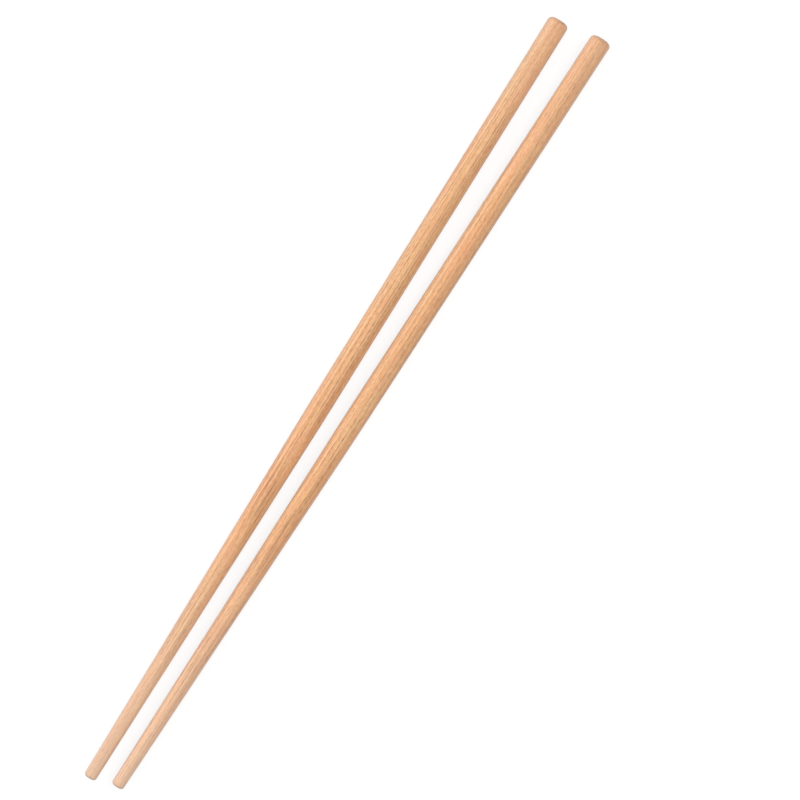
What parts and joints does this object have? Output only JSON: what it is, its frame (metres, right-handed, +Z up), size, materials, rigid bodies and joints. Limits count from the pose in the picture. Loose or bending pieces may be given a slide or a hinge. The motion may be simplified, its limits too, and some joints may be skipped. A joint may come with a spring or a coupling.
{
  "type": "pair of chopsticks",
  "caption": "Pair of plain round bamboo chopsticks lying side by side, straight along the handle half and tapering to slim blunt tips.",
  "frame": {"origin": "on the table that the pair lies on, under the middle of the pair", "axes": "+X along the pair towards the thick ends, +Y across the pair towards the left chopstick, +Z up from the table"},
  "size_m": [0.242, 0.0182, 0.006],
  "materials": {
    "bamboo": "satin"
  },
  "bodies": {
    "root": {"left_chopstick": "bamboo", "right_chopstick": "bamboo"}
  },
  "joints": []
}
